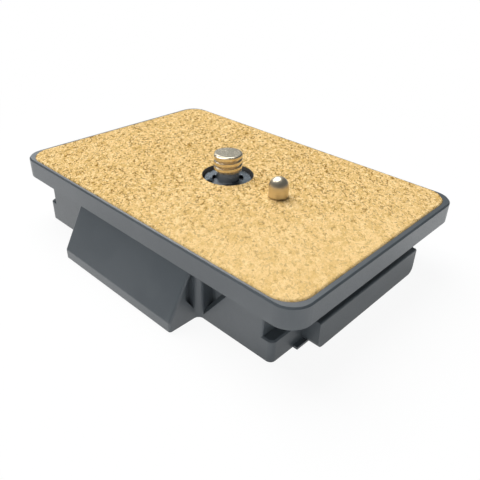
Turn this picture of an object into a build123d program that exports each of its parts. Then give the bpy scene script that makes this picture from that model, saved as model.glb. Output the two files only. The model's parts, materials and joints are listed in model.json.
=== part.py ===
from build123d import *
import math
import os

# Tripod quick release plate. Millimetres, +Z up, z = 0 on the face it stands on, X along the long side,
# and the camera screw on the Z axis.

# Top plate and its rim
plate_length = 82.5
plate_width = 54.9
plate_corner_radius = 4.4
band_height = 4.35
band_edge_chamfer = 0.3
rim_end_width = 1.15
rim_side_width = 0.75
recess_corner_radius = 4.85

# Cork pad
cork_recess_depth = 1.4
cork_thickness = 1.75
cork_gap = 0.1
cork_pin_hole_gap = 0.08

# Base block under the plate
base_height = 10.95
base_side_setback = 2.25
neck_end_setback = 7.95
neck_corner_radius = 0.4
base_wall = 2.4

# Stepped ends of the base
flange_reach = 2.3
flange_height = 4.75
flange_corner_radius = 1.1
flange_edge_chamfer = 0.3
lip_reach = 6.05
lip_width = 34.0
lip_height = 6.3
lip_lift = 0.35
lip_corner_radius = 1.5
lip_edge_radius = 0.4
lip_wall = 2.0
foot_reach = 3.3
foot_width = 2.2
foot_height = 0.5

# Dovetail wedges on the long sides
wedge_length = 35.0
wedge_reach = 4.9
wedge_lip_height = 2.05
wedge_edge_radius = 0.6
wedge_end_radius = 0.5
wedge_root_radius = 1.2
wedge_wall = 2.4
wedge_end_wall = 3.2
wedge_rib = 1.6
wedge_cells = 3
wedge_slot_width = 1.9
wedge_slot_inset = 1.3
wedge_slot_depth = 1.4
wedge_slot_height = 8.4
wedge_slot_slope = 2.85
wedge_slot_wall = 0.8

# Triangular pockets beside the wedges, one on each long side
pocket_strip = 1.3
pocket_width = 6.8
pocket_drop = 8.65
pocket_depth = 2.4
pocket_bevel = 0.8
pocket_wall = 1.4

# Ribs under the plate
rib_thickness = 1.6
end_rib_offset = 7.5
spoke_height = 2.35
rib_recess = 0.6

# Camera screw with its head, clip and washer
thread_diameter = 6.35
screw_rise = 5.1
screw_tip_chamfer = 0.45
thread_length = 4.05
thread_end_chamfer = 0.3
screw_neck_diameter = 5.2
shaft_clearance = 0.075
clip_thickness = 0.8
clip_outer_diameter = 10.4
clip_arm_width = 1.7
clip_mouth_width = 4.6
clip_lug_width = 2.0
clip_groove_diameter = 4.4
clip_grip_gap = 0.03
clip_side_gap = 0.55
turning_gap = 0.1
washer_thickness = 0.8
washer_rim = 3.2
head_diameter = 15.0
head_thickness = 2.5
head_edge_chamfer = 0.4
lug_width = 5.0
lug_length = 9.4
coin_slot_width = 1.6
coin_slot_depth = 1.5

# Folding D-ring in the head
ring_thickness = 2.0
ring_arm_width = 2.0
ring_pivot_clearance = 0.05
ring_head_gap = 0.9
ring_half_width = 7.0
ring_reach = 12.0
ring_tip_gap = 0.5

# Sprung video pin
pin_offset = 14.7
pin_diameter = 4.2
pin_rise = 4.3
pin_travel = 4.2
pin_flange_rim = 1.25
pin_flange_thickness = 1.2
pin_guide_length = 1.95
pin_bore_diameter = 3.2
pin_bore_depth = 5.6
pin_boss_wall = 1.1
pin_stop_gap = 0.15
seat_gap = 0.05

# Spring, retainer and its screws
spring_wire_diameter = 0.4
spring_side_gap = 0.15
spring_turns = 5
spring_wire_sides = 5
retainer_thickness = 0.8
screw_post_wall = 1.4
screw_post_overlap = 0.6
small_screw_diameter = 2.0
small_screw_length = 5.0
small_screw_clearance = 0.03
small_head_diameter = 3.8
small_head_height = 1.2
small_recess_width = 0.6
small_recess_length = 2.2
small_recess_depth = 0.7

# Levels and half sizes that follow from the values above
plate_top = base_height + band_height
floor_top = plate_top - cork_recess_depth
cork_top = floor_top + cork_thickness
plate_half_width = plate_width / 2
base_half_width = plate_half_width - base_side_setback
base_width = 2 * base_half_width
neck_half_length = plate_length / 2 - neck_end_setback
cavity_half_length = neck_half_length - base_wall
cavity_half_width = base_half_width - base_wall
recess_length = plate_length - 2 * rim_end_width
recess_width = plate_width - 2 * rim_side_width
lip_half_width = lip_width / 2
wedge_half_length = wedge_length / 2
wedge_half_width = plate_half_width + wedge_reach

shaft_hole_diameter = thread_diameter + 2 * shaft_clearance
screw_tip = cork_top + screw_rise
thread_bottom = screw_tip - thread_length
clip_bottom = floor_top + turning_gap
clip_top = clip_bottom + clip_thickness
cork_screw_hole_diameter = clip_outer_diameter + 2 * clip_side_gap
boss_bottom = base_height - spoke_height
washer_diameter = shaft_hole_diameter + 2 * washer_rim
head_top = boss_bottom - washer_thickness - turning_gap
head_bottom = head_top - head_thickness
ring_radius = ring_thickness / 2
ring_axis_height = head_bottom - ring_head_gap - ring_radius
lug_end_radius = lug_width / 2

pin_top = cork_top + pin_rise
pin_hole_diameter = pin_diameter + 2 * shaft_clearance
pin_flange_diameter = pin_diameter + 2 * pin_flange_rim
chamber_diameter = pin_flange_diameter + 2 * shaft_clearance
chamber_top = floor_top - pin_guide_length
pin_flange_top = chamber_top - seat_gap
pin_flange_bottom = pin_flange_top - pin_flange_thickness
pin_bore_top = pin_flange_bottom + pin_bore_depth
retainer_top = pin_flange_bottom - pin_travel - pin_stop_gap
retainer_bottom = retainer_top - retainer_thickness
pin_boss_diameter = chamber_diameter + 2 * pin_boss_wall
small_screw_hole_diameter = small_screw_diameter + 2 * small_screw_clearance
screw_post_diameter = small_screw_hole_diameter + 2 * screw_post_wall
post_offset = (pin_boss_diameter + screw_post_diameter) / 2 - screw_post_overlap
well_half_length = pin_offset + pin_boss_diameter / 2 + rib_thickness


def slab(length, width, corner_radius, bottom, top):
    """A flat block with rounded upright corners, centred on the Z axis."""
    outline = RectangleRounded(length, width, corner_radius)
    return Pos(0, 0, bottom) * extrude(outline, top - bottom)


def bar(length, width, bottom, top, x=0.0, y=0.0):
    """A plain block with its middle at x, y."""
    return Pos(x, y, (bottom + top) / 2) * Box(length, width, top - bottom)


def rod(diameter, bottom, top, x=0.0, y=0.0):
    """An upright cylinder."""
    return Pos(x, y, (bottom + top) / 2) * Cylinder(diameter / 2, top - bottom)


def on_both_sides(shape):
    """The shape and its mirror image across the long middle plane."""
    return shape + mirror(shape, about=Plane.XZ)


def on_both_ends(shape):
    """The shape and its mirror image across the short middle plane."""
    return shape + mirror(shape, about=Plane.YZ)


def at_lock_corners(shape):
    """The shape moved to the front right corner, and the same turned half round the Z axis."""
    front = mirror(shape, about=Plane.XZ)
    return front + Rot(0, 0, 180) * front


def make_top_plate():
    """Flat plate with a softened rim and the shallow recess that the cork lies in."""
    plate = slab(plate_length, plate_width, plate_corner_radius, base_height, plate_top)
    plate = chamfer(plate.edges().group_by(Axis.Z)[-1], band_edge_chamfer)
    return plate - slab(recess_length, recess_width, recess_corner_radius, floor_top, plate_top)


def make_end_steps():
    """Flange, lip and the low foot under the lip, which stand out from the neck at both ends."""
    flange_length = 2 * (neck_half_length + flange_reach)
    lip_length = 2 * (neck_half_length + lip_reach)
    foot_length = 2 * (neck_half_length + foot_reach)
    flange = slab(flange_length, base_width, flange_corner_radius, 0, flange_height)
    flange = chamfer(flange.edges().group_by(Axis.Z)[-1], flange_edge_chamfer)
    lip = bar(lip_length, lip_width, lip_lift, lip_height)
    lip = fillet(lip.edges().filter_by(Axis.Y).group_by(Axis.Z)[-1], lip_edge_radius)
    lip = fillet(lip.edges().filter_by(Axis.X).group_by(Axis.Z)[0], lip_corner_radius)
    foot = bar(foot_length, lip_width + 2 * foot_width, 0, foot_height)
    return flange + lip + foot


def wedge_section(inset):
    """Section of a wedge, with its upright lip and its slanted face moved in by inset."""
    outline = Polyline(
        (cavity_half_width, 0),
        (wedge_half_width - inset, 0),
        (wedge_half_width - inset, wedge_lip_height),
        (plate_half_width - inset, base_height),
        (cavity_half_width, base_height),
        close=True,
    )
    return make_face(outline)


def make_wedges():
    """Dovetail wedges: a face that slants out and down from the plate's edge to an upright lip."""
    wedge = extrude(Plane.YZ * wedge_section(0), wedge_half_length, both=True)
    end_edges = wedge.faces().filter_by(Axis.X).edges()
    slant_edges = end_edges.filter_by(Axis.Y, reverse=True).filter_by(Axis.Z, reverse=True)
    wedge = fillet(end_edges.group_by(Axis.Y)[-1] + slant_edges, wedge_end_radius)
    lip_edges = wedge.edges().filter_by(Axis.X).group_by(Axis.Y)[-1]
    wedge = fillet(lip_edges.group_by(Axis.Z)[-1], wedge_edge_radius)
    return on_both_sides(wedge)


def make_wedge_roots():
    """Rounded inner corners between the ends of the wedges and the base."""
    size = wedge_root_radius
    x = wedge_half_length + size
    y = base_half_width + size
    root = bar(size, size, 0, base_height, x - size / 2, y - size / 2) - rod(2 * size, 0, base_height, x, y)
    return on_both_ends(on_both_sides(root))


def cut_wedge_cores():
    """Hollows that the mould leaves in the underside of each wedge, between thin ribs."""
    rise_per_reach = (base_height - wedge_lip_height) / wedge_reach
    inner_edge = wedge_half_width - wedge_wall
    roof = wedge_lip_height + (inner_edge - base_half_width) * rise_per_reach
    profile = Polyline(
        (base_half_width, 0),
        (inner_edge, 0),
        (inner_edge, wedge_lip_height),
        (base_half_width, roof),
        close=True,
    )
    core_length = wedge_length - 2 * wedge_end_wall
    pitch = (core_length + wedge_rib) / wedge_cells
    cell = extrude(Plane.YZ * make_face(profile), (pitch - wedge_rib) / 2, both=True)
    first = -pitch * (wedge_cells - 1) / 2
    cells = [Pos(first + pitch * step, 0, 0) * cell for step in range(wedge_cells)]
    return on_both_sides(Part() + cells)


def cut_wedge_slots():
    """Upright slot in the end of each wedge beside its pocket, with a sloping floor."""
    near = base_half_width + wedge_slot_inset
    low = base_height - wedge_slot_height
    profile = Polyline(
        (near, low),
        (near + wedge_slot_width, low + wedge_slot_slope),
        (near + wedge_slot_width, base_height),
        (near, base_height),
        close=True,
    )
    section = make_face(profile) & wedge_section(wedge_slot_wall)
    slot = extrude(Plane.YZ * section, wedge_slot_depth)
    return at_lock_corners(Pos(wedge_half_length - wedge_slot_depth, 0, 0) * slot)


def pocket_growth(grow):
    """Scale of the pocket's triangle that moves its slanting edge out by grow."""
    return 1 + grow * math.hypot(1 / pocket_width, 1 / pocket_drop)


def pocket_outline(grow):
    """Right triangle beside the wedge and under the plate, with its slanting edge moved out by grow."""
    near = wedge_half_length + pocket_strip
    far = near + pocket_width * pocket_growth(grow)
    low = base_height - pocket_drop * pocket_growth(grow)
    return make_face(Polyline((near, base_height), (near, low), (far, base_height), close=True))


def pocket_plane(depth):
    """Upright plane inside the far base wall, at this depth from its face."""
    return Plane((0, base_half_width - depth, 0), x_dir=(1, 0, 0), z_dir=(0, -1, 0))


def cut_pockets():
    """Pockets with a bevelled slanting edge."""
    mouth = pocket_plane(0) * pocket_outline(pocket_bevel)
    throat = pocket_plane(pocket_bevel) * pocket_outline(0)
    pocket = loft([mouth, throat]) + extrude(throat, pocket_depth - pocket_bevel)
    return at_lock_corners(pocket)


def make_pocket_boxes():
    """Walls that close the pockets on the inside of the base."""
    near = wedge_half_length + pocket_strip - pocket_wall
    far = wedge_half_length + pocket_strip + pocket_width * pocket_growth(pocket_bevel) + pocket_wall
    deep = pocket_depth + pocket_wall
    box = bar(far - near, deep, 0, base_height, (near + far) / 2, base_half_width - deep / 2)
    return at_lock_corners(box)


def cut_lip_cores():
    """Two shallow hollows in the underside of each end lip."""
    inner = neck_half_length
    outer = neck_half_length + lip_reach - lip_wall
    cell_width = lip_half_width - lip_wall - rib_thickness / 2
    middle = rib_thickness / 2 + cell_width / 2
    cell = bar(outer - inner, cell_width, 0, lip_height - lip_wall, (inner + outer) / 2, middle)
    return on_both_ends(on_both_sides(cell))


def make_ribs():
    """Cross ribs beside the middle well, short ribs to the ends and low spokes from the screw boss."""
    cross_width = 2 * cavity_half_width + base_wall
    cross = bar(rib_thickness, cross_width, rib_recess, base_height, well_half_length + rib_thickness / 2)
    end_length = 2 * cavity_half_length + base_wall
    ends = bar(end_length, rib_thickness, rib_recess, base_height, 0, end_rib_offset)
    ends = ends - bar(2 * well_half_length, base_width, 0, base_height)
    spoke_x = bar(2 * well_half_length, rib_thickness, boss_bottom, base_height)
    spoke_y = bar(rib_thickness, cross_width, boss_bottom, base_height)
    return on_both_ends(cross) + on_both_sides(ends) + spoke_x + spoke_y


def make_bosses():
    """Screw boss, pin boss and the two posts for the small screws."""
    screw_boss = rod(washer_diameter, boss_bottom, base_height)
    pin_boss = rod(pin_boss_diameter, retainer_top, base_height, pin_offset)
    post = rod(screw_post_diameter, retainer_top, base_height, pin_offset, post_offset)
    return screw_boss + pin_boss + on_both_sides(post)


def cut_holes():
    """Holes for the screw, the pin and its spring chamber, and the small screws."""
    shaft_hole = rod(shaft_hole_diameter, 0, plate_top)
    pin_hole = rod(pin_hole_diameter, retainer_top, plate_top, pin_offset)
    chamber = rod(chamber_diameter, retainer_top, chamber_top, pin_offset)
    pilot_top = retainer_bottom + small_screw_length + small_screw_clearance
    pilot = rod(small_screw_hole_diameter, retainer_top, pilot_top, pin_offset, post_offset)
    return shaft_hole + pin_hole + chamber + on_both_sides(pilot)


def make_plate_body():
    """The moulding: plate, hollow base, stepped ends, wedges, ribs and bosses in one piece."""
    base = slab(2 * neck_half_length, base_width, neck_corner_radius, 0, base_height)
    base = base + make_end_steps() + make_wedges() + make_wedge_roots()
    cavity = bar(2 * cavity_half_length, 2 * cavity_half_width, 0, base_height)
    base = base - cavity - cut_wedge_cores() - cut_lip_cores()
    base = base + make_pocket_boxes() - cut_pockets() - cut_wedge_slots()
    return make_top_plate() + base + make_ribs() + make_bosses() - cut_holes()


def make_cork_pad():
    """Cork sheet with the screw hole and the pin hole."""
    length = recess_length - 2 * cork_gap
    width = recess_width - 2 * cork_gap
    pad = slab(length, width, recess_corner_radius - cork_gap, floor_top, cork_top)
    screw_hole = rod(cork_screw_hole_diameter, floor_top, cork_top)
    pin_hole = rod(pin_diameter + 2 * cork_pin_hole_gap, floor_top, cork_top, pin_offset)
    return pad - screw_hole - pin_hole


def make_camera_screw():
    """Turned screw: thread blank, neck with the clip's groove, round head and the lug for the D-ring."""
    groove_radius = clip_groove_diameter / 2
    neck_radius = screw_neck_diameter / 2
    radius = thread_diameter / 2
    head_radius = head_diameter / 2
    profile = Polyline(
        (0, head_bottom),
        (head_radius - head_edge_chamfer, head_bottom),
        (head_radius, head_bottom + head_edge_chamfer),
        (head_radius, head_top),
        (radius, head_top),
        (radius, clip_bottom),
        (groove_radius, clip_bottom),
        (groove_radius, clip_top),
        (neck_radius, clip_top),
        (neck_radius, thread_bottom),
        (radius - thread_end_chamfer, thread_bottom),
        (radius, thread_bottom + thread_end_chamfer),
        (radius, screw_tip - screw_tip_chamfer),
        (radius - screw_tip_chamfer, screw_tip),
        (0, screw_tip),
        close=True,
    )
    screw = revolve(Plane.XZ * make_face(profile), Axis.Z)
    pivot = Plane.XZ * Pos(0, ring_axis_height)
    lug_side = Rectangle(lug_width, head_bottom - ring_axis_height, align=(Align.CENTER, Align.MIN))
    lug = extrude(pivot * (lug_side + Circle(lug_end_radius)), lug_length / 2, both=True)
    pivot_hole = Circle(ring_radius + ring_pivot_clearance)
    lug = lug - extrude(pivot * pivot_hole, lug_length, both=True)
    slot_bottom = ring_axis_height - lug_end_radius
    slot = bar(2 * lug_width, coin_slot_width, slot_bottom, slot_bottom + coin_slot_depth)
    return screw + (lug - slot)


def make_retaining_clip():
    """Flat E-shaped spring clip: an open ring with three lugs that grip the screw's groove."""
    outer_radius = clip_outer_diameter / 2
    inner_radius = outer_radius - clip_arm_width
    grip_radius = clip_groove_diameter / 2 + clip_grip_gap
    ring = Circle(outer_radius) - Circle(inner_radius)
    lug = Pos((outer_radius + grip_radius) / 2, 0) * Rectangle(outer_radius - grip_radius, clip_lug_width)
    for turn in (0, 90, 180):
        ring = ring + Rot(0, 0, turn) * lug
    ring = ring & Circle(outer_radius)
    mouth = Pos(0, -outer_radius / 2) * Rectangle(clip_mouth_width, outer_radius)
    ring = ring - mouth - Circle(grip_radius)
    return Pos(0, 0, clip_bottom) * extrude(ring, clip_thickness)


def make_thrust_washer():
    """Plastic washer between the boss and the screw's head."""
    top = boss_bottom
    bottom = boss_bottom - washer_thickness
    return rod(washer_diameter, bottom, top) - rod(shaft_hole_diameter, bottom, top)


def ring_outline(half_width):
    """A D from the pivot's axis to a half-round bow."""
    bow = CenterArc((ring_half_width - ring_reach, 0), half_width, 90, 180)
    arms = Polyline(bow @ 1, (0, -half_width), (0, half_width), bow @ 0)
    return make_face(bow + arms)


def make_d_ring():
    """Stamped D-ring, folded flat under the head, with its two round pivots in the lug's hole."""
    outer = ring_half_width + ring_arm_width / 2
    inner = ring_half_width - ring_arm_width / 2
    level = Plane((0, 0, ring_axis_height))
    ring = extrude(level * (ring_outline(outer) - ring_outline(inner)), ring_radius, both=True)
    tip = coin_slot_width / 2 + ring_tip_gap
    pivot_end = Plane((0, tip, ring_axis_height), x_dir=(1, 0, 0), z_dir=(0, 1, 0))
    pivot = extrude(pivot_end * Circle(ring_radius), outer - tip)
    return ring + on_both_sides(pivot)


def make_video_pin():
    """Domed pin with a stop flange, bored from below for its spring."""
    radius = pin_diameter / 2
    flange_radius = pin_flange_diameter / 2
    bore_radius = pin_bore_diameter / 2
    shoulder = pin_top - radius
    side = Polyline(
        (0, pin_bore_top),
        (bore_radius, pin_bore_top),
        (bore_radius, pin_flange_bottom),
        (flange_radius, pin_flange_bottom),
        (flange_radius, pin_flange_top),
        (radius, pin_flange_top),
        (radius, shoulder),
    )
    dome = RadiusArc((radius, shoulder), (0, pin_top), -radius)
    axis_line = Line((0, pin_top), (0, pin_bore_top))
    profile = make_face(Plane.XZ * (side + dome + axis_line))
    return Pos(pin_offset, 0, 0) * revolve(profile, Axis.Z)


def make_pin_spring():
    """Coil spring from the retainer up into the pin's bore, with few sides to its thin wire."""
    wire_radius = spring_wire_diameter / 2
    coil_radius = pin_bore_diameter / 2 - spring_side_gap - wire_radius
    length = pin_bore_top - retainer_top - 2 * wire_radius - 2 * seat_gap
    coil = Helix(length / spring_turns, length, coil_radius)
    section = Plane(coil @ 0, z_dir=coil % 0) * RegularPolygon(wire_radius, spring_wire_sides)
    wire = sweep(section, path=coil, is_frenet=True)
    return Pos(pin_offset, 0, retainer_top + wire_radius + seat_gap) * wire


def make_pin_retainer():
    """Small steel plate under the pin boss, with a hole at each end for its screw."""
    length = 2 * post_offset + screw_post_diameter
    outline = SlotOverall(length, pin_boss_diameter, rotation=90)
    holes = [Pos(0, side * post_offset) * Circle(small_screw_hole_diameter / 2) for side in (-1, 1)]
    return Pos(pin_offset, 0, retainer_bottom) * extrude(outline - holes, retainer_thickness)


def make_retainer_screws():
    """Two pan-head screws with a cross recess."""
    head_low = retainer_bottom - small_head_height
    shank = rod(small_screw_diameter, retainer_bottom, retainer_bottom + small_screw_length)
    head = rod(small_head_diameter, head_low, retainer_bottom)
    head = chamfer(head.edges().group_by(Axis.Z)[0], small_head_height / 2)
    recess_top = head_low + small_recess_depth
    recess = bar(small_recess_length, small_recess_width, head_low, recess_top)
    recess = recess + bar(small_recess_width, small_recess_length, head_low, recess_top)
    screw = Pos(pin_offset, post_offset, 0) * (shank + head - recess)
    return Compound(children=[screw.solid(), mirror(screw, about=Plane.XZ).solid()])


nodes = {
    "plate_body": make_plate_body(),
    "cork_pad": make_cork_pad(),
    "camera_screw": make_camera_screw(),
    "retaining_clip": make_retaining_clip(),
    "thrust_washer": make_thrust_washer(),
    "d_ring": make_d_ring(),
    "video_pin": make_video_pin(),
    "pin_spring": make_pin_spring(),
    "pin_retainer": make_pin_retainer(),
    "retainer_screws": make_retainer_screws(),
}

os.makedirs("parts", exist_ok=True)
for name, solid in nodes.items():
    export_step(solid, f"parts/{name}.step")
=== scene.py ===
"""Looks of a tripod quick release plate: cork sheet, moulded body, threaded screw, fittings and stage.

The file is laid out as an add-on and run as a script. Every piece is in metres, in the frame of the solids.
"""

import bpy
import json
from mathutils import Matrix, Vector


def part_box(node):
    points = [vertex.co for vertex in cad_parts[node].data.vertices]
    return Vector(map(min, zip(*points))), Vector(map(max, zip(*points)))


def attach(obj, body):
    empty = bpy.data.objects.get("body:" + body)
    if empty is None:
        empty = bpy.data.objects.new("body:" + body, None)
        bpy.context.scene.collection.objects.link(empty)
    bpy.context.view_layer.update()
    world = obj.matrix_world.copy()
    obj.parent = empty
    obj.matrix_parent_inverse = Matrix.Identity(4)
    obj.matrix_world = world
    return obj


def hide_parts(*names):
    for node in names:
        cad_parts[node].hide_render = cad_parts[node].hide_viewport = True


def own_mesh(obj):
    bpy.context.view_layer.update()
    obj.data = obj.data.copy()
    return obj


bl_info = {
    "name": "Quick Release Plate Looks",
    "version": (1, 0, 0),
    "blender": (4, 5, 0),
    "location": "3D View > Sidebar > Plate",
    "description": "Dresses a quick release plate with cork, moulded plastic, a threaded screw and a stage",
    "category": "Object",
}

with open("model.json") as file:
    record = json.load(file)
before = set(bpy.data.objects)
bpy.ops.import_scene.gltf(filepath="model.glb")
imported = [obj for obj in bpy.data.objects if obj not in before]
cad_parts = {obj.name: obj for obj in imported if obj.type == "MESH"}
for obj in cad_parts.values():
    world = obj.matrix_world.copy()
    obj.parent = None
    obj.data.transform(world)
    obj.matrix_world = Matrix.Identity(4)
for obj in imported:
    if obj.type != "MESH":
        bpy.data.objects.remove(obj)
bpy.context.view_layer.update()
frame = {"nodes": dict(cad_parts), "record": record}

import json
import math

import bmesh
import bpy
from mathutils import Matrix, Vector
from mathutils.geometry import delaunay_2d_cdt

MM = 0.001

# Places from the frame
CORK_LOW, CORK_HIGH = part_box("cork_pad")
SCREW_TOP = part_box("camera_screw")[1].z
PIN_LOW, PIN_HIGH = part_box("video_pin")
SPRING_LOW, SPRING_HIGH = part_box("pin_spring")
MOUNTS = {mount["name"]: mount for mount in frame["record"]["mounts"]}
THREAD_RADIUS = MOUNTS["camera_screw"]["dims"]["r_mm"] * MM
PIN_AXIS_X = (PIN_LOW.x + PIN_HIGH.x) / 2

# Meshes: loops at shares of the rubbed edge, a margin in spacings, triangulation and counts
EDGE_LOOPS = (0.33, 0.67, 1.0)
NET_MARGIN = 0.6
INSIDE_ONLY = 1
SAME_POINT = 1e-5
MERGE_DISTANCE = 0.001 * MM
THREAD_SEGMENTS = 120
THREAD_ROWS = 90
SPRING_STEPS = 28
WIRE_SIDES = 10

# Degrees past which an edge stays sharp, and within which the clip's faces are one
SHARP_CORK = 50
SHARP_STEEL = 60
SHARP_CLIP = 40
FLAT_CLIP = 1

# Cork: noise features in a metre, sizes in granules, relief, and the mark of points below the top
FINE_NOISE = 3800.0
BREAK_NOISE = 950.0
PATCH_NOISE = 420.0
SMALL_GRANULE = 0.3
GRANULE_SWAY = 1.6
GAP_WIDTH = 0.18
TONE_RELIEF = 0.6
RUB_POWER = 1.5
NOT_ON_TOP = -1.0
# How far past the edge of the screw hole the painted shade on its wall reaches
PAINTED_SHADE_MARGIN = 0.03 * MM

# Thread: spans of the flank and the run-out, and how far the ring on the tip is set in
FLANK_SPAN = (0.04, 0.5)
RUN_OUT_SPAN = (0.2, 1.0)
TIP_INSET = 0.06

# Metals: stains in a metre, shares of a colour, and mean roughness and grain size of plated skins
STAIN_NOISE = 700.0
WORN_SHARE = 0.9
DULL_SHARE = 0.75
# Metallic value of the duller grey band on the screw's neck
DULLED_METALLIC = 0.3
PLATED_CLOUD = 2.5 * MM
PLATED_SKINS = {
    "spring_wire": (0.28, 0.1 * MM),
    "black_steel": (0.24, 0.12 * MM),
    "ring_steel": (0.26, 0.1 * MM),
    "zinc_plate": (0.32, 0.15 * MM),
}

# Stage: ways from the middle in which the floor changes, cosines in which the sky does, and camera
FAR_SPAN = (0.08, 0.25)
WHITE_SPAN = (0.05, 0.14)
SHADED_SPAN = (0.0, 0.055)
GLOW_SPAN = (0.82, 1.0)
SENSOR_WIDTH = 36.0
CLIP_START = 5 * MM

# Sockets: places on a Mix node that mixes colours, and kinds for a geometry tree's inputs
MIX_FIRST = 6
MIX_SECOND = 7
MIX_RESULT = 2
SOCKET_KINDS = {
    float: "NodeSocketFloat",
    tuple: "NodeSocketVector",
    bpy.types.Material: "NodeSocketMaterial",
}


# Settings


def length_property(name, description, default):
    """A length in metres, shown in the scene's units."""
    return bpy.props.FloatProperty(
        name=name, description=description, default=default, unit="LENGTH", precision=5, min=0.0
    )


def share_property(name, description, default):
    """A value from 0 to 1."""
    return bpy.props.FloatProperty(
        name=name, description=description, default=default, subtype="FACTOR", min=0.0, max=1.0
    )


def angle_property(name, description, degrees):
    """An angle, given in degrees."""
    return bpy.props.FloatProperty(
        name=name, description=description, default=math.radians(degrees), subtype="ANGLE"
    )


def colour_property(name, description, default):
    """A linear colour."""
    return bpy.props.FloatVectorProperty(
        name=name, description=description, default=default, subtype="COLOR", size=3, min=0.0, max=1.0
    )


def direction_property(name, description, default):
    """A direction from the plate."""
    return bpy.props.FloatVectorProperty(
        name=name, description=description, default=default, subtype="DIRECTION", size=3
    )


def power_property(name, description, default):
    """A light's power in watts."""
    return bpy.props.FloatProperty(
        name=name, description=description, default=default, subtype="POWER", min=0.0
    )


class CorkSettings(bpy.types.PropertyGroup):
    """Sizes and colours of the cork sheet"""

    corner_radius: length_property("Corner radius", "Radius of the sheet's four corners", 4.75 * MM)
    screw_hole: length_property("Screw hole", "Diameter of the hole round the camera screw", 11.5 * MM)
    pin_hole: length_property("Pin hole", "Diameter of the hole round the pin", 4.36 * MM)
    mesh_spacing: length_property("Mesh spacing", "Distance between the points of the top face", 0.27 * MM)
    spread: length_property("Spread", "How far the soft sheet spreads towards the rim", 0.08 * MM)
    edge_round: length_property("Edge round", "Width and fall of the rubbed outer edge", 0.32 * MM)
    hole_wear: share_property("Hole wear", "Share of that fall at the edges of the holes", 0.35)
    granule: length_property("Granule", "Usual size of a cork granule", 1.15 * MM)
    relief: length_property("Relief", "How far the granules stand proud of their gaps", 0.06 * MM)
    grain_turn: angle_property("Grain turn", "Way in which the granules were pressed longer", 133)
    grain_stretch: bpy.props.FloatProperty(
        name="Grain stretch", description="How much longer the granules are that way", default=1.4, min=1.0
    )
    light: colour_property("Light granules", "Colour of most granules", (0.90, 0.635, 0.295))
    # Pale flecks are partly the granules' own lighter tone and partly painted highlights on granule tops
    pale: colour_property("Pale flecks", "Colour of the lightest flecks", (1.0, 0.76, 0.40))
    middle: colour_property("Tan granules", "Colour of the darker granules", (0.64, 0.40, 0.115))
    dark: colour_property("Dark specks", "Colour of bark specks and pores", (0.22, 0.10, 0.0))
    sparse_side: direction_property("Sparse side", "Side with fewer dark specks", (0.75, -0.66, 0.0))
    sparse_from: length_property("Sparse from", "Way to that side at which the specks start to thin", 0.0)
    sparse_to: length_property("Sparse to", "Way to that side at which few specks are left", 38.0 * MM)
    sparse_share: share_property("Sparse share", "Share of the specks that is left there", 0.35)
    # Painted shade: a dark colour for the wall of the screw hole, which lies in shade
    stain: colour_property("Painted_hole_shade", "Colour of the wall of the screw hole", (0.12, 0.115, 0.11))


class ThreadSettings(bpy.types.PropertyGroup):
    """Sizes of the camera screw's thread"""

    pitch: length_property("Pitch", "Rise of the thread in one turn", 1.27 * MM)
    depth: length_property("Depth", "Depth of the thread's groove", 0.32 * MM)
    length: length_property("Length", "Length of the threaded end", 4.05 * MM)
    tip_round: length_property("Tip round", "Radius of the edge at the screw's tip", 0.3 * MM)
    end_chamfer: length_property("End chamfer", "Chamfer at the thread's lower end", 0.3 * MM)
    run_out: length_property("Run-out", "Stretch in which the groove fades at the lower end", 0.5 * MM)
    start: angle_property("Start", "Turn at which the thread's crest starts", 236)


class SpringSettings(bpy.types.PropertyGroup):
    """Sizes of the spring under the pin"""

    wire: length_property("Wire", "Diameter of the spring's wire", 0.4 * MM)
    turns: bpy.props.IntProperty(name="Turns", description="Turns of the coil", default=5, min=1)


class PlasticSettings(bpy.types.PropertyGroup):
    """Finish of the moulded body and the washer"""

    colour: colour_property("Colour", "Colour of the moulded plastic", (0.066, 0.079, 0.09))
    pale: colour_property("Pale colour", "Colour where it is faintly clouded", (0.078, 0.091, 0.102))
    washer: colour_property("Washer", "Colour of the washer", (0.55, 0.54, 0.5))
    pale_washer: colour_property("Pale washer", "Colour where it is faintly clouded", (0.6, 0.59, 0.55))
    grain: length_property("Grain", "Size of the moulded grain", 0.22 * MM)
    roughness: share_property("Roughness", "Mean roughness of the plastic", 0.38)
    gloss: share_property("Gloss", "Strength of the plastic's reflection", 0.75)
    coat: share_property("Coat", "Strength of the smooth skin over the plastic", 0.4)


class SteelSettings(bpy.types.PropertyGroup):
    """Finish of the metal pieces"""

    bright: colour_property("Bright steel", "Colour of the turned screw and pin", (0.77, 0.68, 0.53))
    black: colour_property("Dark steel", "Colour of the blackened clip", (0.27, 0.30, 0.33))
    # Grey of the screw's neck between the cork's underside and the thread's lower end, in place of the bright
    # steel
    neck: colour_property("Neck", "Colour of the oiled neck in the hole", (0.42, 0.45, 0.48))
    wire: colour_property("Wire", "Colour of drawn wire", (0.56, 0.56, 0.55))
    zinc: colour_property("Zinc", "Colour of zinc plated steel", (0.55, 0.57, 0.59))
    roughness: share_property("Roughness", "Mean roughness of the turned screw", 0.24)
    pin_roughness: share_property("Pin roughness", "Mean roughness of the tumbled pin", 0.38)
    clip_bevel: length_property("Clip bevel", "Width of the clip's softened edges", 0.14 * MM)


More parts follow.
